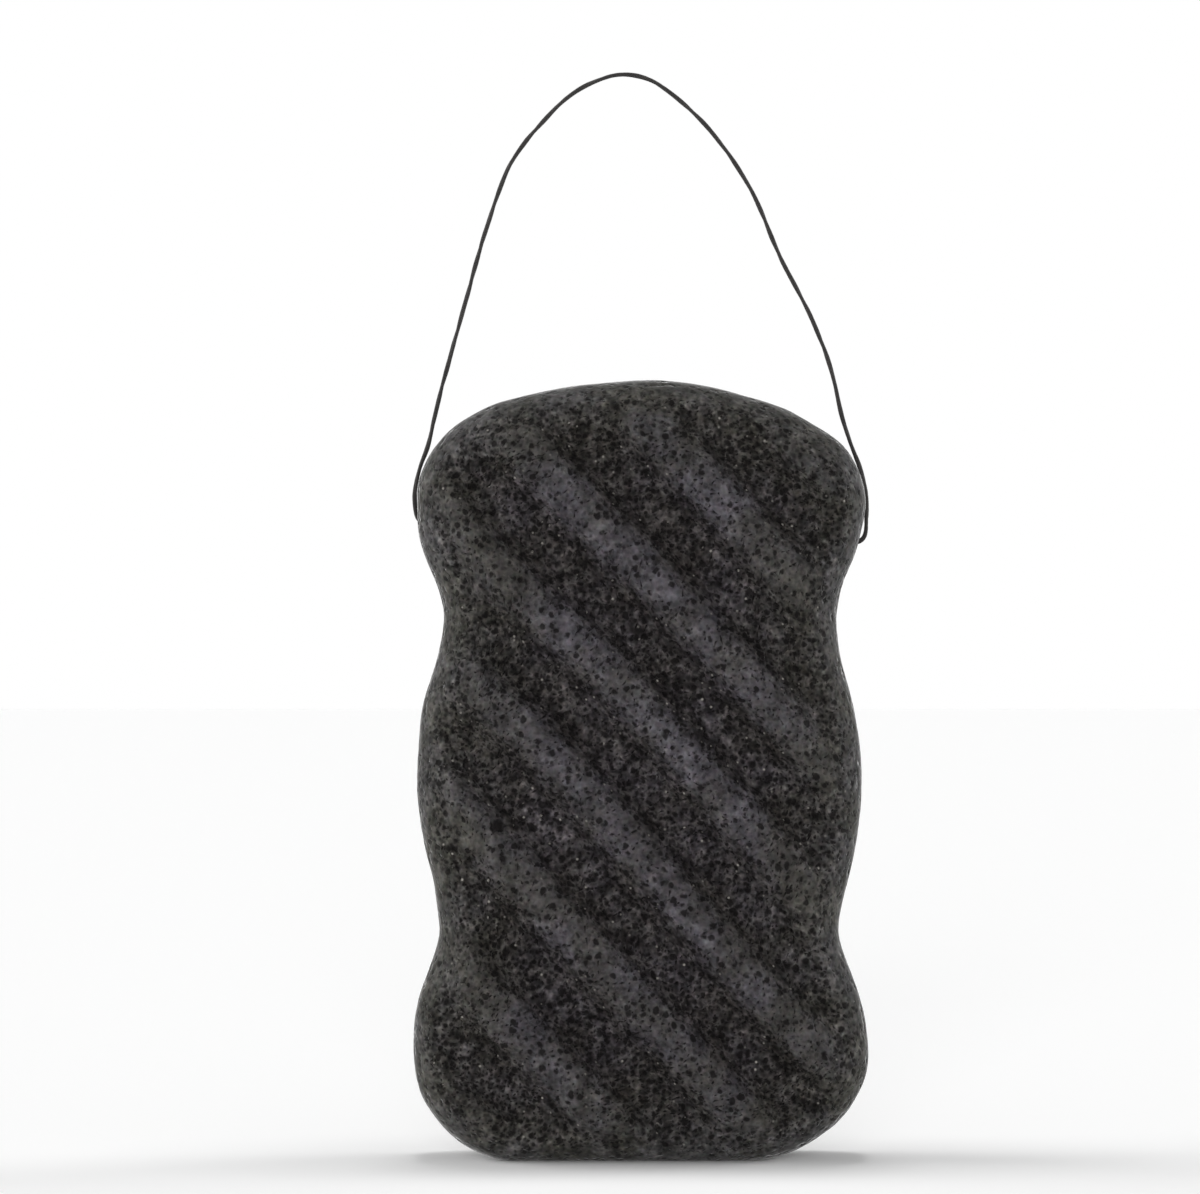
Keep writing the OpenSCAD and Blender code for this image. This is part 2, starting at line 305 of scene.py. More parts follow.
def grid_quads(ring_start, first_inside):
    """Faces of a face grid that is bounded by a ring of the rim."""
    n = 2 * (ACROSS + UPRIGHT)
    inside = np.arange((UPRIGHT - 1) * (ACROSS - 1)).reshape(UPRIGHT - 1, ACROSS - 1)
    index = np.zeros((UPRIGHT + 1, ACROSS + 1), int)
    index[1:-1, 1:-1] = first_inside + inside
    index[0] = ring_start + np.arange(ACROSS + 1)
    index[:, -1] = ring_start + ACROSS + np.arange(UPRIGHT + 1)
    index[-1] = ring_start + 2 * ACROSS + UPRIGHT - np.arange(ACROSS + 1)
    index[:, 0] = ring_start + (-np.arange(UPRIGHT + 1)) % n
    return np.stack([index[:-1, :-1], index[:-1, 1:], index[1:, 1:], index[1:, :-1]], -1).reshape(-1, 4)


def sponge_surface():
    """Points and four-cornered faces of the smooth sponge, and each point's distance from the outline."""
    rim = rim_line()
    inward = inward_of(rim)
    n = len(rim)
    wall_front = BODY_T / 2 - FRONT_EDGE_T
    wall_back = BODY_T / 2 - BACK_EDGE_R
    rings, depths = [], []

    def add_ring(inset, y):
        p = rim + inward * inset
        rings.append(np.column_stack([p[:, 0], np.broadcast_to(y, n), p[:, 1]]))
        depths.append(np.full(n, inset))

    for a in np.linspace(pi / 2, 0, BACK_RINGS + 1):
        add_ring(BACK_EDGE_R * (1 - cos(a)), wall_back + BACK_EDGE_R * sin(a))
    for t in np.linspace(0, 1, WALL_RINGS + 1)[1:]:
        add_ring(0, wall_back - (wall_back + wall_front) * t)
    for a in np.linspace(0, pi / 2, FRONT_RINGS + 1)[1:]:
        inset = FRONT_EDGE_IN * (1 - cos(a))
        height = front_height(rim + inward * inset, np.full(n, inset))
        add_ring(inset, -wall_front - (height - wall_front) * sin(a))

    front = face_grid(rim + inward * FRONT_EDGE_IN)
    gap = np.sqrt(((front[:, None] - rim[None, ::2]) ** 2).sum(-1)).min(1)
    back = face_grid(rim + inward * BACK_EDGE_R)
    points = np.vstack(rings + [
        np.column_stack([front[:, 0], -front_height(front, gap), front[:, 1]]),
        np.column_stack([back[:, 0], np.full(len(back), BODY_T / 2), back[:, 1]])])
    depth = np.concatenate(depths + [gap, np.full(len(back), BACK_EDGE_R)])

    k = np.arange(len(rings) - 1)[:, None] * n
    i = np.arange(n)[None, :]
    j = (i + 1) % n
    walls = np.stack([k + i, k + j, k + n + j, k + n + i], -1).reshape(-1, 4)
    last_ring = (len(rings) - 1) * n
    inside = len(rings) * n
    front_faces = grid_quads(last_ring, inside)
    back_faces = grid_quads(0, inside + len(front))[:, ::-1]
    return points, np.vstack([walls, front_faces, back_faces]), depth


def normals_of(points, quads):
    """Outward direction at each point, from the faces round it."""
    a, b, c, d = (points[quads[:, k]] for k in range(4))
    faces = np.cross(c - a, d - b)
    total = np.zeros_like(points)
    for k in range(4):
        np.add.at(total, quads[:, k], faces)
    return unit(total)


def neighbour_lists(quads, count):
    """The points that share a face with each point, as one index array, and where each point's start."""
    corners = [(a, b) for a in range(4) for b in range(4) if a != b]
    pairs = np.unique(np.vstack([quads[:, pair] for pair in corners]), axis=0)
    starts = np.searchsorted(pairs[:, 0], np.arange(count + 1))
    return pairs[:, 1], starts


def channel_point(a):
    """Point of the channel's axis, in x and z, at distance a from its middle."""
    return np.array([a * cos(CHANNEL_TILT), CHANNEL_Z - a * sin(CHANNEL_TILT)])


def press_dimples(points):
    """Presses in the foam where the thread enters it, along the channel."""
    for side in (-1, 1):
        away = side * np.array([cos(CHANNEL_TILT), 0, -sin(CHANNEL_TILT)])
        from_middle = points - (0, 0, CHANNEL_Z)
        along = from_middle @ away
        radius = np.linalg.norm(from_middle - along[:, None] * away, axis=1)
        share = ease(radius, DIMPLE_REACH, CHANNEL_R)
        near = (along > MOUTH_AT - DIMPLE_DEPTH) & (radius < DIMPLE_REACH)
        points[near] -= (share * DIMPLE_PRESS)[near, None] * away


def press_large_pit(points):
    """Presses the one large pit in the face, and returns how deep each point lies in it, up to 1."""
    x, z, radius, depth = LARGE_PIT
    away = np.hypot(points[:, 0] - x, points[:, 2] - z) / radius
    share = np.where(points[:, 1] < 0, np.exp(-away ** 4), 0)
    points[:, 1] += share * depth
    return share


def open_pores(points, normals, quads, openness, keep_off):
    """Draws chosen points inwards and their neighbours to a rim. Returns 1 in each pore's middle."""
    rng = np.random.default_rng(SEED)
    others, starts = neighbour_lists(quads, len(points))
    least_r, usual_r, most_r = PORE_R
    taken = keep_off.copy()
    middle = np.zeros(len(points))
    before = points.copy()
    for v in rng.permutation(len(points)):
        if taken[v] or rng.uniform() > PORE_CHANCE * openness[v]:
            continue
        ring = others[starts[v]:starts[v + 1]]
        radius = np.clip(rng.lognormal(log(usual_r), PORE_R_SPREAD), least_r, most_r)
        away = before[ring] - before[v]
        height = away @ normals[v]
        flat = away - height[:, None] * normals[v]
        side = unit(np.cross(normals[v], SLANT))
        angle = np.arctan2(flat @ np.cross(normals[v], side), flat @ side)
        stretch = rng.uniform(0, PORE_STRETCH)
        oval = stretch * np.cos(2 * angle - rng.uniform(0, 2 * pi))
        reach = radius * (1 + oval + rng.normal(0, PORE_UNEVENNESS, len(ring)))
        rim = before[v] + unit(flat) * reach[:, None] + (height - PORE_RIM_SINK)[:, None] * normals[v]
        free = ~taken[ring]
        points[ring[free]] = rim[free]
        shift = rng.normal(0, PORE_SHIFT, 3)
        points[v] += shift - normals[v] * radius * rng.uniform(*PORE_DEPTH_SHARE)
        middle[v] = 1
        taken[v] = True
        taken[ring] = True
    return middle


def tone_shares(points, depth, ridged):
    """What the foam's colours go by at each point: how much it is crest, painted flank shade, edge and
    border.
    """
    plan = points[:, [0, 2]]
    front = points[:, 1] < 0
    lean = np.sin(ridge_phase(plan))
    return {
        "crest": ease(depth, *CREST_TONE_FADE) * front * (ridge_wave(plan) + 1),
        "flank_shade": ridged * lean ** 2 * (1 - FLANK_SHADE_BIAS * lean) / (1 + FLANK_SHADE_BIAS),
        "edge": ease(depth, *EDGE_FADE) * (1 - WALL_LOSS * ease(points[:, 1], *WALL_FADE)),
        "border": ease(depth, *BORDER_FADE)}


def roughen(points, normals, edge):
    """Lifts the skin in swells, ripples and grain, and shifts its points sideways."""
    rng = np.random.default_rng(SEED + 1)
    calm = 1 - GRAIN_CALMED * edge
    grain = calm * rng.normal(0, GRAIN_LIFT, len(points))
    swell = SWELL_LIFT * (1 - SWELL_CALMED * edge) * swells(points, SWELL_SIZE, SWELL_SEED)
    ripple = RIPPLE_LIFT * calm * swells(points, RIPPLE_SIZE, RIPPLE_SEED)
    points += normals * (swell + ripple + grain)[:, None]
    sideways = calm[:, None] * rng.normal(0, GRAIN_SHIFT, points.shape)
    points += sideways - (sideways * normals).sum(1)[:, None] * normals


def pore_shares(points, shares, ridged):
    """How likely a pore is at each point, beside the usual chance."""
    patches = 0.5 + 0.5 * swells(points, PORE_PATCH_SIZE, PORE_PATCH_SEED)
    least, more = PORE_PATCHES
    lost = PORES_LOST_ON_CRESTS * shares["crest"] + PORES_LOST_OFF_RIDGES * (1 - ridged)
    openness = np.clip((PORES_IN_VALLEYS - lost) * (least + more * patches), *PORE_LIMITS)
    return openness * (1 - PORES_LOST_AT_EDGE * shares["edge"])


def near_mouth(points):
    """Which points lie round a mouth of the channel, where the foam keeps its form."""
    channel_end = np.abs(points[:, 0]) > MOUTH_AT - MOUTH_MARGIN
    above_axis = points[:, 2] - CHANNEL_Z + points[:, 0] * sin(CHANNEL_TILT)
    return channel_end & (np.hypot(points[:, 1], above_axis) < DIMPLE_R + DIMPLE_MARGIN)


def sponge_piece(material):
    """The foam, with its ridges, pores and the dimples of the cord."""
    points, quads, depth = sponge_surface()
    ridged = ease(depth, *RIDGE_FADE) * (points[:, 1] < 0)
    shares = tone_shares(points, depth, ridged)
    foot = points[:, 2] < FOOT_Z

    roughen(points, normals_of(points, quads), shares["edge"])
    press_dimples(points)
    large_pit = press_large_pit(points)
    normals = normals_of(points, quads)
    openness = pore_shares(points, shares, ridged)
    pore = open_pores(points, normals, quads, openness, near_mouth(points) | foot)
    # Where the pores' painted shade goes: their middles and the large pit
    shares["pore"] = np.maximum(pore, large_pit)
    points[:, 2] = np.maximum(points[:, 2], 0)

    mesh = mesh_of("sponge", points, quads)
    for name, values in shares.items():
        mesh.attributes.new(name, "FLOAT", "POINT").data.foreach_set("value", values.astype(np.float32))
    return piece_of("sponge", mesh, material)


def mesh_of(name, points, quads):
    """A smooth-shaded mesh in metres, from points in millimetres."""
    mesh = bpy.data.meshes.new(name)
    mesh.from_pydata((np.asarray(points) * MM).tolist(), [], np.asarray(quads).tolist())
    mesh.validate()
    mesh.shade_smooth()
    return mesh


def piece_of(name, mesh, material):
    """An object of the scene with one material."""
    piece = bpy.data.objects.new(name, mesh)
    bpy.context.scene.collection.objects.link(piece)
    mesh.materials.append(material)
    return piece


# Thread: two strands that twist, and the knot

STRAND_R = 0.35
STRAND_OFFSET = 0.1
STRAND_SIDES = 12
STRAND_STEP = 0.45
TWIST_PITCH = 17.5
# Slow changes of the twist: amount, run and start
TWIST_WANDER = [(0.5, 11.3, 0), (0.35, 4.7, 1)]
# And of a strand's thickness: amount, run, and start in times the strand's own angle
STRAND_SWELL = [(0.07, 1.9, 1), (0.05, 0.83, 2)]
KNOT_STRAND_R = 0.34
KNOT_SIZE = 0.36
KNOT_STEPS = 96
# Keeps the knot's sides off its centre line
KNOT_SLANT = (0.01, 0.02, 0.03)
CURVE_STEPS = 24
# Which knots each blend of a centripetal curve lies between, level by level
CURVE_LEVELS = [[(0, 1), (1, 2), (2, 3)], [(0, 2), (1, 3)], [(1, 2)]]


def turn_point(side, angle):
    """Point of the bend outside a mouth, in x and z."""
    a = radians(angle)
    level = channel_point(side * (MOUTH_AT + MOUTH_RUN + CORD_TURN_R * sin(a)))
    return level + CORD_TURN_R * (1 - cos(a)) * np.array([sin(CHANNEL_TILT), cos(CHANNEL_TILT)])


def upright(flat):
    """Rows of x and z as points in the plane y = 0."""
    flat = np.array(flat)
    return np.column_stack([flat[:, 0], np.zeros(len(flat)), flat[:, 1]])


def cord_route():
    """The points that the free cord follows from mouth to mouth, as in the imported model."""
    steps = [0, *CORD_TURN_STEPS]
    rise = [channel_point(-MOUTH_AT)] + [turn_point(-1, a) for a in steps]
    fall = [turn_point(1, a) for a in reversed(steps)] + [channel_point(MOUTH_AT)]
    return upright([*rise, *CORD_RISE, *CORD_FALL, *fall])


def smooth_line(route, step):
    """A line with even steps on a centripetal curve through the route."""
    p = np.vstack([2 * route[0] - route[1], route, 2 * route[-1] - route[-2]])
    line = []
    for i in range(1, len(p) - 2):
        window = p[i - 1:i + 3]
        gaps = np.linalg.norm(np.diff(window, axis=0), axis=1)
        knots = np.concatenate([[0], np.cumsum(np.sqrt(gaps))])
        for t in np.linspace(knots[1], knots[2], CURVE_STEPS, endpoint=False):
            row = list(window)
            for spans in CURVE_LEVELS:
                row = [
                    (row[k] * (knots[b] - t) + row[k + 1] * (t - knots[a])) / (knots[b] - knots[a])
                    for k, (a, b) in enumerate(spans)]
            line.append(row[0])
    line = np.array([*line, route[-1]])
    runs = run_lengths(line)
    at = np.linspace(0, runs[-1], int(runs[-1] / step) + 1)
    return np.column_stack([np.interp(at, runs, line[:, k]) for k in range(3)])


def strands(line):
    """Points, faces and fibre coordinates of two strands that twist round a line in the plane y = 0."""
    along = unit(np.gradient(line, axis=0))
    side = np.column_stack([-along[:, 2], np.zeros(len(line)), along[:, 0]])
    runs = run_lengths(line)
    wander = sum(amount * np.sin(runs / run + start) for amount, run, start in TWIST_WANDER)
    turn = 2 * pi * runs / TWIST_PITCH + wander
    angles = 2 * pi * np.arange(STRAND_SIDES) / STRAND_SIDES
    points, quads, fibre = [], [], []
    for ply in (0, pi):
        a = turn + ply
        out = np.cos(a)[:, None] * side + np.sin(a)[:, None] * (0, 1, 0)
        across = -np.sin(a)[:, None] * side + np.cos(a)[:, None] * (0, 1, 0)
        swell = 1 + sum(amount * np.sin(runs / run + start * ply) for amount, run, start in STRAND_SWELL)
        centre = line + out * STRAND_OFFSET
        first = len(points) * STRAND_SIDES
        for c, o, x, w in zip(centre, out, across, swell):
            points.append(c + STRAND_R * w * (np.cos(angles)[:, None] * o + np.sin(angles)[:, None] * x))
        for i in range(len(line) - 1):
            near = first + i * STRAND_SIDES
            far = near + STRAND_SIDES
            for k in range(STRAND_SIDES):
                m = (k + 1) % STRAND_SIDES
                left, right = k / STRAND_SIDES, (k + 1) / STRAND_SIDES
                quads.append((near + k, near + m, far + m, far + k))
                fibre.append([(left, runs[i]), (right, runs[i]), (right, runs[i + 1]), (left, runs[i + 1])])
    return np.vstack(points), quads, fibre


def thread_piece(name, lines, material):
    """A piece of two-ply thread along one or more lines."""
    points, quads, fibre = [], [], []
    for line in lines:
        start = sum(len(part) for part in points)
        more_points, more_quads, more_fibre = strands(line)
        points.append(more_points)
        quads += [tuple(start + k for k in quad) for quad in more_quads]
        fibre += more_fibre
    mesh = mesh_of(name, np.vstack(points), quads)
    uv = mesh.uv_layers.new(name="fibre")
    uv.data.foreach_set("uv", np.array(fibre, dtype=np.float32).ravel())
    return piece_of(name, mesh, material)


def knot_piece(material):
    """The knot in its pocket: one strand-thick tube tied in a trefoil."""
    t = np.linspace(0, 2 * pi, KNOT_STEPS, endpoint=False)
    wide = 2 + np.cos(3 * t)
    line = KNOT_SIZE * np.column_stack([np.sin(3 * t), wide * np.cos(2 * t), wide * np.sin(2 * t)])
    along = unit(np.roll(line, -1, axis=0) - np.roll(line, 1, axis=0))
    side = unit(np.cross(along, line + KNOT_SLANT))
    up = np.cross(along, side)
    angles = 2 * pi * np.arange(STRAND_SIDES) / STRAND_SIDES
    ring = np.cos(angles)[None, :, None] * side[:, None] + np.sin(angles)[None, :, None] * up[:, None]
    points = (line[:, None] + KNOT_STRAND_R * ring).reshape(-1, 3)
    centre = channel_point(-KNOT_OFFSET)
    points += (centre[0], 0, centre[1])
    near = np.arange(KNOT_STEPS)[:, None] * STRAND_SIDES
    far = ((np.arange(KNOT_STEPS) + 1) % KNOT_STEPS)[:, None] * STRAND_SIDES
    k = np.arange(STRAND_SIDES)[None, :]
    m = (k + 1) % STRAND_SIDES
    quads = np.stack([near + k, near + m, far + m, far + k], -1).reshape(-1, 4)
    return piece_of("knot", mesh_of("knot", points, quads), material)


# Materials

def linear(value):
    """A channel from 0 to 255 as it shows on a screen, in the renderer's linear light."""
    v = value / 255
    return v / 12.92 if v <= 0.04045 else ((v + 0.055) / 1.055) ** 2.4


def tone(red, green, blue):
    """A colour given as it shows on a screen, from 0 to 255."""
    return (linear(red), linear(green), linear(blue), 1.0)


class Surface:
    """One material, with short calls that add a node and return its output."""

    def __init__(self, name):
        self.material = bpy.data.materials.new(name)
        self.material.use_nodes = True
        self.tree = self.material.node_tree
        self.tree.nodes.clear()

    def add(self, kind, inputs=(), **settings):
        """Adds a node. Inputs are given by name or by number."""
        node = self.tree.nodes.new(kind)
        for name, value in settings.items():
            setattr(node, name, value)
        for name, value in dict(inputs).items():
            if isinstance(value, bpy.types.NodeSocket):
                self.tree.links.new(value, node.inputs[name])
            else:
                node.inputs[name].default_value = value
        return node

    def math(self, operation, first, second=0.0, third=0.0):
        return self.add("ShaderNodeMath", {0: first, 1: second, 2: third}, operation=operation).outputs[0]

    def times(self, first, second):
        return self.math("MULTIPLY", first, second)

    def place(self):
        """Each point's place in its piece, in metres."""
        return self.add("ShaderNodeTexCoord").outputs["Object"]

    def mix(self, factor, low, high, blend_type="MIX"):
        inputs = {0: factor, 6: low, 7: high}
        return self.add("ShaderNodeMix", inputs, data_type="RGBA", blend_type=blend_type).outputs[2]

    def step(self, value, start, end, low=0.0, high=1.0):
        """Eases from low to high while the value goes from start to end."""
        inputs = {"Value": value, "From Min": start, "From Max": end, "To Min": low, "To Max": high}
        return self.add("ShaderNodeMapRange", inputs, interpolation_type="SMOOTHSTEP").outputs[0]

    def attribute(self, name):
        return self.add("ShaderNodeAttribute", attribute_name=name).outputs["Fac"]

    def noise(self, place, size, detail=2.0, roughness=0.5, output="Fac"):
        inputs = {"Vector": place, "Scale": 1 / size, "Detail": detail, "Roughness": roughness}
        return self.add("ShaderNodeTexNoise", inputs).outputs[output]

    def scattered(self, place, spacing):
        """Distance to the nearest of scattered points, in spacings, and a random value for each point."""
        node = self.add("ShaderNodeTexVoronoi", {"Vector": place, "Scale": 1 / spacing})
        picked = self.add("ShaderNodeSeparateColor", {0: node.outputs["Color"]}).outputs[0]
        return node.outputs["Distance"], picked

    def pits(self, place, spacing, least, softness):
        """Soft round spots of many sizes, from the least radius upwards, in spacings."""
        distance, picked = self.scattered(place, spacing)
        past = self.math("SUBTRACT", distance, self.times(picked, PIT_R_SPREAD))
        return self.step(past, least + softness, least - softness)

    def weighed(self, parts):
        """Sum of noises about their middle, each times its weight."""
        total = 0.0
        for value, weight in parts:
            total = self.math("MULTIPLY_ADD", self.math("SUBTRACT", value, 0.5), weight, total)
        return total

    def finish(self, bump_height, bump_distance, inputs):
        """Adds the surface shader with a bump."""
        relief = {"Height": bump_height, "Distance": bump_distance, "Strength": 1.0}
        bump = self.add("ShaderNodeBump", relief)
        shader = self.add("ShaderNodeBsdfPrincipled", {**inputs, "Normal": bump.outputs[0]})
        self.add("ShaderNodeOutputMaterial", {"Surface": shader.outputs[0]})
        return self.material


CREST_TONE = tone(73.5, 71, 73)
BORDER_CREST_TONE = tone(69, 67.5, 65.5)
VALLEY_TONE = tone(54, 51, 52)
# Painted shade of the ridges' flanks
FLANK_SHADE_TONE = tone(41, 38, 38)
BORDER_TONE = tone(57, 56, 52)
# Paler edge: partly a smoother skin, partly painted highlight from the side light
EDGE_SKIN_AND_HIGHLIGHT_TONE = tone(69, 68, 66)
# Painted shade in the pores
PIT_SHADE_TONE = tone(14, 12, 12)
CELL_WALL_AND_HIGHLIGHT_TONE = tone(98, 95, 94)
# Painted glints of the specks
SPECK_GLINT_TONE = tone(150, 146, 140)
# Slight drifts of the grey, for an overlay, in which one half leaves a channel as it is
YELLOWER = (0.5, 0.5, 0.44, 1.0)
BLUER = (0.5, 0.5, 0.56, 1.0)
STIR_TINT = 0.1
DRIFT_TINT = 0.5
DRIFT_RANGE = (0.35, 0.65)
BORDER_TINT = 0.55

# Sizes of the foam's patterns, in metres
STIR_SIZE = 1 / 900
STIR_REACH = 0.0011
BROAD_SIZE = 0.011
PATCH_SIZE = 0.0032
MIDDLE_SIZE = 0.0015
FINE_SIZE = 0.0008
PATTERN_ROUGHNESS = 0.6
CELL_SIZE = 0.0014
SPECK_SPACING = 0.0017
FOAM_RELIEF = 0.0003
# How strongly the patterns lighten and darken the foam, and the open foam besides
BROAD_CONTRAST = 0.8
PATCH_CONTRAST = 2.3
FINE_CONTRAST = 0.8
OPEN_MIDDLE_CONTRAST = 3.7
OPEN_FINE_CONTRAST = 0.7
PATCH_RELIEF = 1.2
FINE_RELIEF = 0.35
# Crest, with a share of the patches added, over which the skin closes
SKIN_RANGE = (0.5, 1.25)
SKIN_PATCHES = 0.35
# Where along the edge and up the flanks the foam grows more even, and what is left there
EDGE_RANGE = (0.3, 1.0)
EDGE_CLOSED = 0.5
EDGE_RELIEF = 0.25
EVEN_RANGE = (0.5, 1.0)
EDGE_CONTRAST = 0.85
FLANK_RANGE = (0.2, 1.0)
FLANK_CONTRAST = 0.85
# The fuzz along the edge
FUZZ = 0.5
FUZZ_ROUGHNESS = 0.3
# Walls between open cells: half width as a share of a cell, the patches that have them, and strength
CELL_WALL_HALF = 0.2
CELL_WALL_RANGE = (0.4, 0.65)
CELL_WALL_STRENGTH = 0.35
# Pits painted as dark spots of shade: spacing, and least radius and softness as shares of it
COARSE_PITS = (0.0018, 0.16, 0.12)
SMALL_PITS = (0.0011, 0.17, 0.2)
PIT_R_SPREAD = 0.22
PIT_SHADE_STRENGTH = 0.85
PORE_RANGE = (0.2, 1.0)
# Specks: soft radius as a share of the spacing, which of the points have one, and how they show
SPECK_R = (0.22, 0.02)
SPECK_RANGE = (0.6, 1.0)
SPECK_EDGE_RANGE = (0.3, 0.9)
SPECK_LEAST = 0.2
SPECK_GLOSS = 0.35
FOAM_ROUGHNESS = 0.95
FOAM_SPECULAR = 0.08


def foam_material():
    """Matte charcoal foam: a paler skin with dark round pores on the crests, and open pores elsewhere; the
    darkness of the pores and flanks is painted shade, the specks carry painted glints, and the edge's
    paleness is partly painted highlight.
    """
    s = Surface("konjac_foam")
    crest, flank_shade, edge, border, modelled = (
        s.attribute(name) for name in ("crest", "flank_shade", "edge", "border", "pore"))
    place = s.place()
    stirring = s.noise(place, STIR_SIZE, 1, output="Color")
    stir = {0: stirring, 1: (STIR_REACH,) * 3, 2: place}
    stirred = s.add("ShaderNodeVectorMath", stir, operation="MULTIPLY_ADD").outputs[0]
    broad = s.noise(place, BROAD_SIZE)
    patch = s.noise(place, PATCH_SIZE, 2, PATTERN_ROUGHNESS)
    middle = s.noise(place, MIDDLE_SIZE, 1, PATTERN_ROUGHNESS)
    fine = s.noise(place, FINE_SIZE, 1, PATTERN_ROUGHNESS)

    # How closed the skin is, and how even along the edge
    smoothness = s.step(s.math("ADD", crest, s.times(patch, SKIN_PATCHES)), *SKIN_RANGE)
    closed = s.math("MAXIMUM", smoothness, s.step(edge, *EDGE_RANGE, 0.0, EDGE_CLOSED))
    openness = s.math("SUBTRACT", 1.0, closed)
    evenness = s.step(edge, *EVEN_RANGE, 1.0, EDGE_CONTRAST)

    # Painted shade on the flanks, darker on those that face up and to the right
    skin = s.mix(flank_shade, VALLEY_TONE, FLANK_SHADE_TONE)
    skin = s.mix(s.times(border, BORDER_TINT), skin, BORDER_TONE)
    # Paler edge: partly a smoother, paler skin and partly painted highlight from the side light
    skin = s.mix(edge, skin, EDGE_SKIN_AND_HIGHLIGHT_TONE)
    skin = s.mix(smoothness, skin, s.mix(border, CREST_TONE, BORDER_CREST_TONE))

    # Lighter and darker spots, as a power of e
    contrast = s.weighed([(broad, BROAD_CONTRAST), (patch, PATCH_CONTRAST), (fine, FINE_CONTRAST)])
    open_contrast = s.weighed([(middle, OPEN_MIDDLE_CONTRAST), (fine, OPEN_FINE_CONTRAST)])
    contrast = s.math("ADD", contrast, s.times(open_contrast, openness))
    contrast = s.times(contrast, s.times(evenness, s.step(flank_shade, *FLANK_RANGE, 1.0, FLANK_CONTRAST)))
    colour = s.mix(1.0, skin, s.math("POWER", e, contrast), "MULTIPLY")
    colour = s.mix(STIR_TINT, colour, stirring, "OVERLAY")
    colour = s.mix(DRIFT_TINT, colour, s.mix(s.step(broad, *DRIFT_RANGE), YELLOWER, BLUER), "OVERLAY")

    # Thin pale walls between open cells: partly their own paler tone, partly painted highlight
    edges = {"Vector": stirred, "Scale": 1 / CELL_SIZE}
    to_wall = s.add("ShaderNodeTexVoronoi", edges, feature="DISTANCE_TO_EDGE").outputs["Distance"]
    walled = s.step(patch, *CELL_WALL_RANGE, 0.0, CELL_WALL_STRENGTH)
    wall = s.times(s.step(to_wall, CELL_WALL_HALF, 0.0), walled)
    colour = s.mix(s.times(wall, openness), colour, CELL_WALL_AND_HIGHLIGHT_TONE)

    # Painted shade in the pits, the modelled pores and the smaller painted ones, with the small ones weaker
    # in closed skin
    small_pit = s.times(s.pits(stirred, *SMALL_PITS), s.math("MULTIPLY_ADD", openness, 0.5, 0.5))
    pit = s.math("MAXIMUM", s.step(modelled, *PORE_RANGE), small_pit)
    pit = s.math("MAXIMUM", s.pits(stirred, *COARSE_PITS), pit)
    colour = s.mix(s.times(pit, s.times(evenness, PIT_SHADE_STRENGTH)), colour, PIT_SHADE_TONE)

    # Scattered specks: painted glints, which also have a lower roughness
    distance, picked = s.scattered(place, SPECK_SPACING)
    speck = s.times(s.step(distance, *SPECK_R), s.step(picked, *SPECK_RANGE))
    speck = s.times(speck, s.step(edge, *SPECK_EDGE_RANGE, 1.0, 0.0))
    colour = s.mix(s.times(speck, s.math("ADD", openness, SPECK_LEAST)), colour, SPECK_GLINT_TONE)

    height = s.math("SUBTRACT", s.weighed([(patch, PATCH_RELIEF), (fine, FINE_RELIEF)]), pit)
    height = s.times(height, s.step(edge, *EDGE_RANGE, 1.0, EDGE_RELIEF))
    return s.finish(height, FOAM_RELIEF, {
        "Base Color": colour,
        "Roughness": s.math("SUBTRACT", FOAM_ROUGHNESS, s.times(speck, SPECK_GLOSS)),
        "Specular IOR Level": FOAM_SPECULAR,
        "Sheen Weight": s.step(edge, *EDGE_RANGE, 0.0, FUZZ),
        "Sheen Roughness": FUZZ_ROUGHNESS})


THREAD_TONE = tone(22, 20, 20)
FIBRE_HIGHLIGHT_TONE = tone(60, 57, 55)
FIBRES_AROUND = 7.0
FIBRE_SLANT = 1.6
FIBRE_STIR = 0.6
FIBRE_NOISE_SIZE = 0.0006
FIBRE_PATCH_SIZE = 0.004
FIBRE_PATCH_RANGE = (0.3, 0.7)
FIBRE_PATCH_LEAST = 0.3
THREAD_RELIEF = 0.00005
THREAD_ROUGHNESS = 0.75
THREAD_SPECULAR = 0.4
THREAD_SHEEN = 0.1


def thread_material():
    """Dark brown-black thread, with the slant of its fibres and painted highlights along them, in patches.
    """
    s = Surface("thread")
    place = s.place()
    uv = s.add("ShaderNodeUVMap", uv_map="fibre").outputs[0]
    around, along, _ = s.add("ShaderNodeSeparateXYZ", {0: uv}).outputs
    slant = s.math("ADD", s.times(around, FIBRES_AROUND), s.times(along, FIBRE_SLANT))
    fine = s.noise(place, FIBRE_NOISE_SIZE)
    lines = s.math("SINE", s.times(s.math("ADD", slant, s.times(fine, FIBRE_STIR)), 2 * pi))
    lay = s.math("MULTIPLY_ADD", lines, 0.5, 0.5)
    # Painted highlights along the fibres' crowns, in patches
    patches = s.step(s.noise(place, FIBRE_PATCH_SIZE), *FIBRE_PATCH_RANGE, FIBRE_PATCH_LEAST, 1.0)
    height = s.math("ADD", lay, s.times(fine, 0.5))
    return s.finish(height, THREAD_RELIEF, {
        "Base Color": s.mix(s.times(lay, patches), THREAD_TONE, FIBRE_HIGHLIGHT_TONE),
        "Roughness": THREAD_ROUGHNESS,
        "Specular IOR Level": THREAD_SPECULAR,
        "Sheen Weight": THREAD_SHEEN})


# Stage: white floor and backdrop, soft light and camera

PHOTO_W, PHOTO_H = 1200, 1194
MM_PER_PIXEL = 0.1928
FOOT_PIXEL = (640, 1158)
CAMERA_AWAY = 1000.0
SENSOR_W = 36.0
CLIP_START = 0.05
FLOOR_SIZE = 8.0
WORLD_LIGHT = 0.3
FLOOR_BOUNCE = 0.97
FLOOR_GLOW = 0.1
FLOOR_SEEN = 1.0
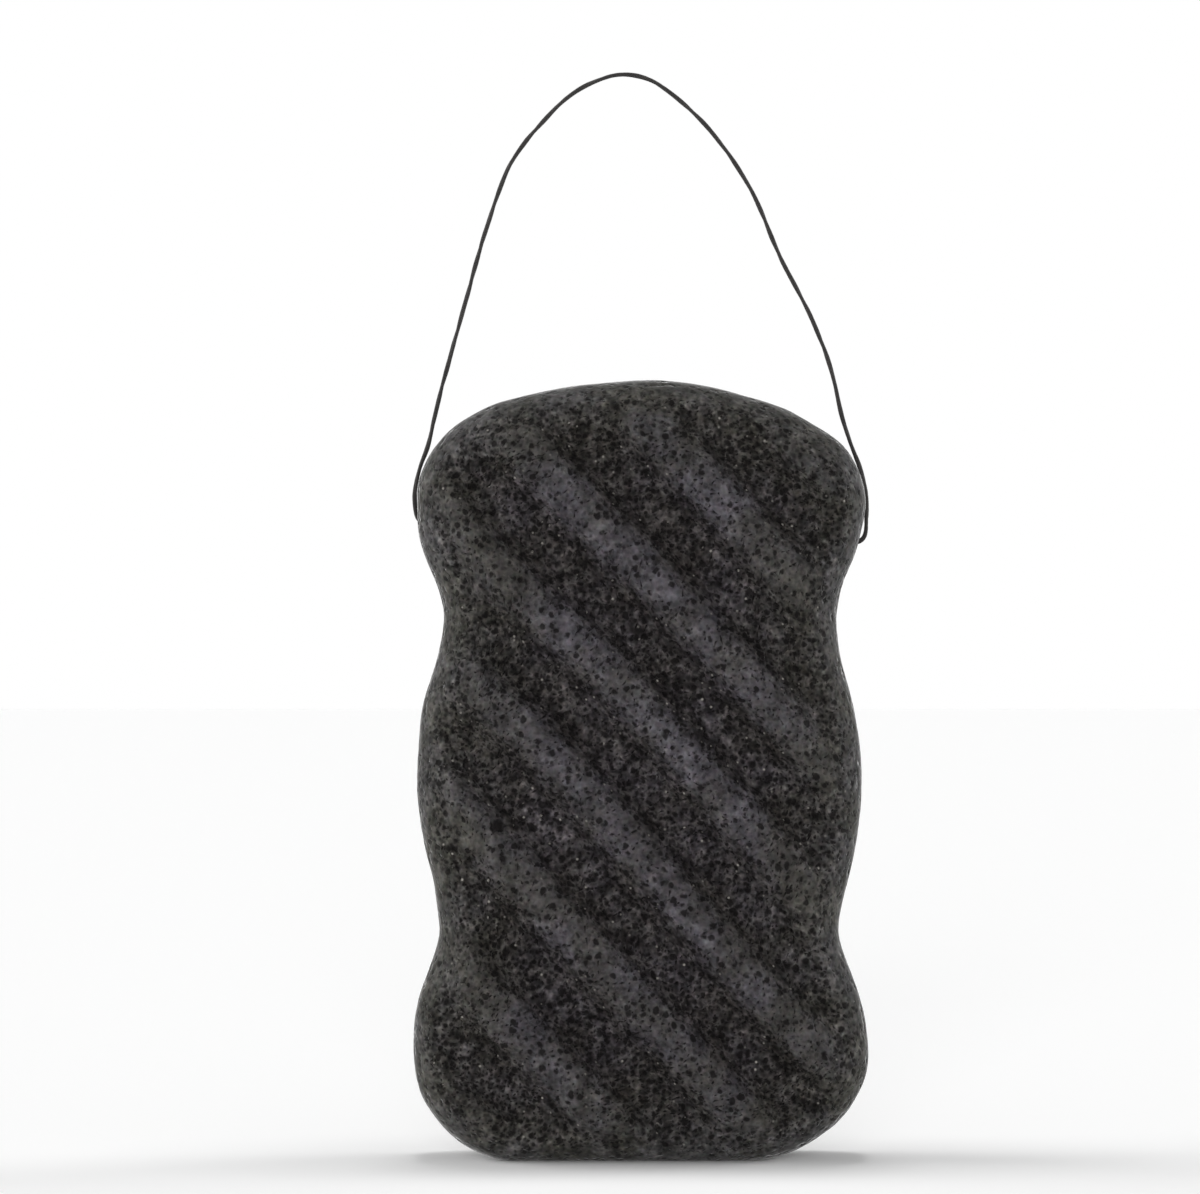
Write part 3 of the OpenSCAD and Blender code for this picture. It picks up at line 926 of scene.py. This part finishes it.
# The floor's glow fades towards the sponge's foot, which paints shade round the foot and deepens the shadow
# there: distances in metres
FOOT_SHADE_SHAPE = (0.45, 1.0, 0.0)
FOOT_SHADE_FADE = (0.018, 0.055)
# Soft suns: name, where it shines from, strength, and spread in degrees
SUNS = [
    ("front_light", (-0.05, -1, 0.2), 1.3, 20),
    ("left_light", (-1, 0.15, 0.3), 2.3, 45),
    ("right_light", (1, 0.35, 0.25), 1.5, 30),
    ("top_light", (0, 0.12, 1), 0.55, 12)]


def seen_directly(tree):
    """1 for camera rays, and for the rays of mirrors and glass."""
    path = tree.nodes.new("ShaderNodeLightPath")
    total = path.outputs["Is Camera Ray"]
    for name in ("Is Glossy Ray", "Is Transmission Ray"):
        larger = tree.nodes.new("ShaderNodeMath")
        larger.operation = "MAXIMUM"
        tree.links.new(total, larger.inputs[0])
        tree.links.new(path.outputs[name], larger.inputs[1])
        total = larger.outputs[0]
    return total


def light_world():
    """Even light from all round, which shows white."""
    world = bpy.data.worlds.new("studio")
    world.use_nodes = True
    tree = world.node_tree
    background = tree.nodes["Background"]
    strength = tree.nodes.new("ShaderNodeMapRange")
    tree.links.new(seen_directly(tree), strength.inputs["Value"])
    strength.inputs["To Min"].default_value = WORLD_LIGHT
    strength.inputs["To Max"].default_value = 1.0
    background.inputs["Color"].default_value = (1, 1, 1, 1)
    tree.links.new(strength.outputs[0], background.inputs["Strength"])
    bpy.context.scene.world = world


def lay_floor():
    """A large floor that shows white and keeps the sponge's shadow, with painted shade round the foot where
    its glow fades.
    """
    half = FLOOR_SIZE / 2 / MM
    corners = [(-half, -half, 0), (half, -half, 0), (half, half, 0), (-half, half, 0)]
    s = Surface("floor")
    seen = seen_directly(s.tree)
    shades = {"Value": seen, "To Min": FLOOR_BOUNCE, "To Max": FLOOR_SEEN}
    shade = s.add("ShaderNodeMapRange", shades).outputs[0]
    diffuse = s.add("ShaderNodeBsdfDiffuse", {"Color": shade})
    # Painted shade: less glow near the sponge's foot
    beside = s.add("ShaderNodeVectorMath", {0: s.place(), 1: FOOT_SHADE_SHAPE}, operation="MULTIPLY").outputs[0]
    away = s.add("ShaderNodeVectorMath", {0: beside}, operation="LENGTH").outputs["Value"]
    strength = s.times(s.step(away, *FOOT_SHADE_FADE), FLOOR_GLOW)
    glow = s.add("ShaderNodeEmission", {"Strength": s.times(seen, strength)})
    both = s.add("ShaderNodeAddShader", {0: diffuse.outputs[0], 1: glow.outputs[0]})
    s.add("ShaderNodeOutputMaterial", {"Surface": both.outputs[0]})
    piece_of("floor", mesh_of("floor", corners, [(0, 1, 2, 3)]), s.material)


def add_sun(name, direction, strength, spread):
    """A soft sun that shines from a direction."""
    light = bpy.data.lights.new(name, "SUN")
    light.energy = strength
    light.angle = radians(spread)
    lamp = bpy.data.objects.new(name, light)
    lamp.rotation_euler = Vector(direction).to_track_quat("Z", "Y").to_euler()
    bpy.context.scene.collection.objects.link(lamp)


def place_camera():
    """A level camera with a long lens, framed as the photograph."""
    data = bpy.data.cameras.new("camera")
    data.sensor_width = SENSOR_W
    data.lens = SENSOR_W * CAMERA_AWAY / (PHOTO_W * MM_PER_PIXEL)
    data.clip_start = CLIP_START
    data.clip_end = 2 * FLOOR_SIZE
    camera = bpy.data.objects.new("camera", data)
    x = (PHOTO_W / 2 - FOOT_PIXEL[0]) * MM_PER_PIXEL
    z = (FOOT_PIXEL[1] - PHOTO_H / 2) * MM_PER_PIXEL
    camera.location = Vector((x, -CAMERA_AWAY, z)) * MM
    camera.rotation_euler = (pi / 2, 0, 0)
    bpy.context.scene.collection.objects.link(camera)
    bpy.context.scene.camera = camera


def add_cord():
    """The free loop of thread, its two stretches inside the foam and its knot."""
    thread = thread_material()
    line = smooth_line(cord_route(), STRAND_STEP)
    loop = thread_piece("cord", [line], thread)
    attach(loop, "cord")
    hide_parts("cord_loop")

    inner_lines = []
    knot_half = KNOT_LENGTH / 2
    for start, end in ((-MOUTH_AT, -KNOT_OFFSET - knot_half), (-KNOT_OFFSET + knot_half, MOUTH_AT)):
        at = np.linspace(start, end, int((end - start) / STRAND_STEP) + 2)
        inner_lines.append(upright([channel_point(a) for a in at]))
    inner = thread_piece("cord_inside", inner_lines, thread)
    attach(inner, "cord")
    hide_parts("cord_inner_run")

    knot = knot_piece(thread)
    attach(knot, "cord")
    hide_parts("cord_knot")


def add_sponge():
    """The block of foam."""
    sponge = sponge_piece(foam_material())
    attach(sponge, "sponge")
    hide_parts("sponge_body")


def main():
    bpy.context.scene.view_settings.view_transform = "Standard"
    place_camera()
    light_world()
    lay_floor()
    for sun in SUNS:
        add_sun(*sun)
    add_cord()
    add_sponge()


main()
